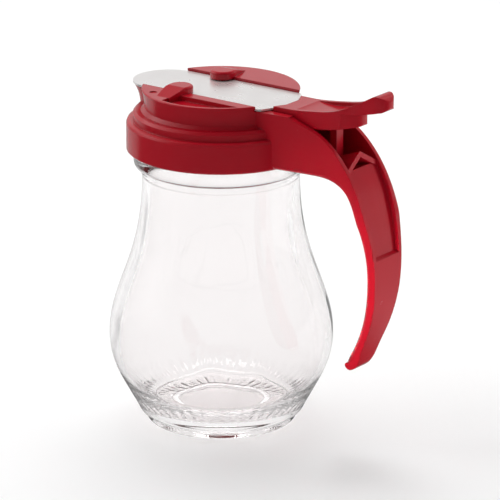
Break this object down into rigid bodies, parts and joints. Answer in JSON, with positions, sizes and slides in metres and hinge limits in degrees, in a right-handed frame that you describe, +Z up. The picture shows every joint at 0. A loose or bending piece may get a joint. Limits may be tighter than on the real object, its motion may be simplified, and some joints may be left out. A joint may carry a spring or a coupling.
{
  "type": "syrup dispenser",
  "caption": "Teardrop glass jar with a screw-on red pouring top and handle, and a sprung flat cut-off blade drawn back by a thumb slide.",
  "frame": {"origin": "centre of the jar's foot, on the surface it stands on", "axes": "+Z up along the jar's axis, +X towards the handle, the spout points to -X"},
  "size_m": [0.107, 0.0762, 0.1247],
  "materials": {
    "glass": "clear pressed soda-lime glass",
    "red_plastic": "glossy moulded red ABS",
    "stainless": "fine brushed stainless sheet",
    "spring_steel": "drawn spring wire",
    "seal_rubber": "soft food-grade ring"
  },
  "bodies": {
    "glass_jar": {"jar": "glass"},
    "sealing_ring": {"rim_seal": "seal_rubber"},
    "top": {"pouring_top": "red_plastic", "return_spring": "spring_steel"},
    "slider": {"cutoff_blade": "stainless", "thumb_slide": "red_plastic"}
  },
  "joints": [
    {"name": "top_lift", "type": "slide", "parent": "glass_jar", "child": "sealing_ring", "axis": [0, 0, 1], "range_m": [0, 0.0127]},
    {"name": "top_turn", "type": "hinge", "parent": "sealing_ring", "child": "top", "pos_m": [0, 0, 0.1], "axis": [0, 0, 1], "range_deg": [0, 1080]},
    {"name": "blade_slide", "type": "slide", "parent": "top", "child": "slider", "axis": [1, 0, 0], "range_m": [0, 0.012], "stiffness_N_per_m": 915, "springref_m": -0.003, "deforming": ["return_spring"]}
  ],
  "couplings": [
    {"joint": "top_lift", "follows": "top_turn", "m_per_rad": 0.000667}
  ]
}
